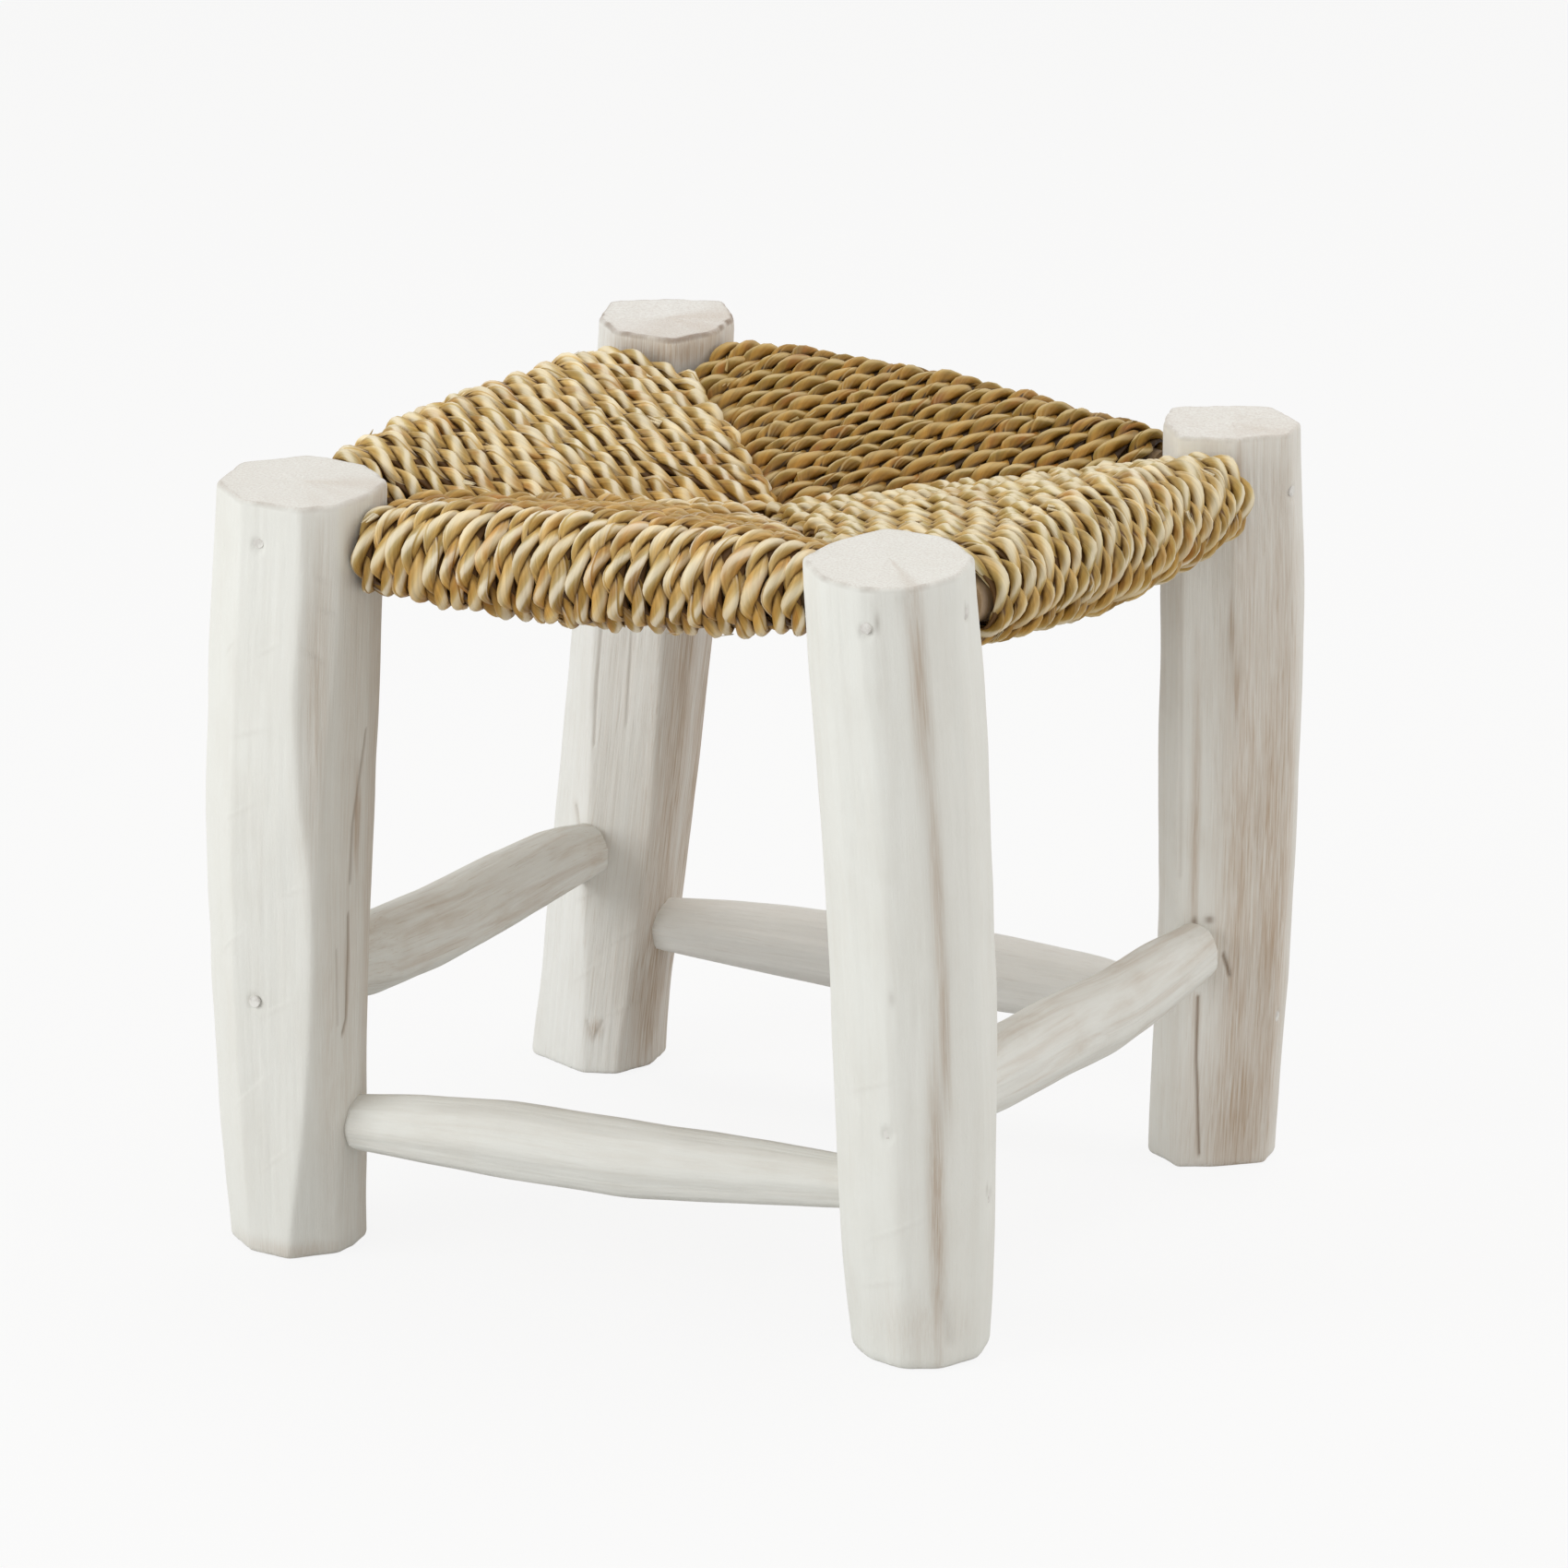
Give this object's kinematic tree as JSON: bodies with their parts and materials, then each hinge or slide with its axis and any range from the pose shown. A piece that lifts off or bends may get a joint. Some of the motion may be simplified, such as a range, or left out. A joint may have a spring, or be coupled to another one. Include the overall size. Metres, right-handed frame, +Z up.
{
  "type": "moroccan kursi stool",
  "caption": "Low stool with hewn limewashed branch legs, spindle seat rails, hewn stretchers and a twisted palm-cord seat woven in triangular panels.",
  "frame": {"origin": "on the floor, under the middle of the stool's outer box", "axes": "+Z up, front of the stool towards -Y, +X to the stool's right as seen from the front"},
  "size_m": [0.3711, 0.3667, 0.338],
  "materials": {
    "limewashed_wood": "matte",
    "palm_cord": "matte",
    "nail_steel": "matte"
  },
  "bodies": {
    "root": {"leg_front_left": "limewashed_wood", "leg_front_right": "limewashed_wood", "leg_rear_right": "limewashed_wood", "leg_rear_left": "limewashed_wood", "rail_front": "limewashed_wood", "rail_right": "limewashed_wood", "rail_rear": "limewashed_wood", "rail_left": "limewashed_wood", "stretcher_front": "limewashed_wood", "stretcher_right": "limewashed_wood", "stretcher_rear": "limewashed_wood", "stretcher_left": "limewashed_wood", "nail_rail_front_1": "nail_steel", "nail_rail_front_2": "nail_steel", "nail_rail_right_1": "nail_steel", "nail_rail_right_2": "nail_steel", "nail_rail_rear_1": "nail_steel", "nail_rail_rear_2": "nail_steel", "nail_rail_left_1": "nail_steel", "nail_rail_left_2": "nail_steel", "nail_stretcher_front_1": "nail_steel", "nail_stretcher_front_2": "nail_steel", "nail_stretcher_right_1": "nail_steel", "nail_stretcher_right_2": "nail_steel", "nail_stretcher_rear_1": "nail_steel", "nail_stretcher_rear_2": "nail_steel", "nail_stretcher_left_1": "nail_steel", "nail_stretcher_left_2": "nail_steel", "seat_cord_front": "palm_cord", "seat_cord_right": "palm_cord", "seat_cord_rear": "palm_cord", "seat_cord_left": "palm_cord"}
  },
  "joints": []
}
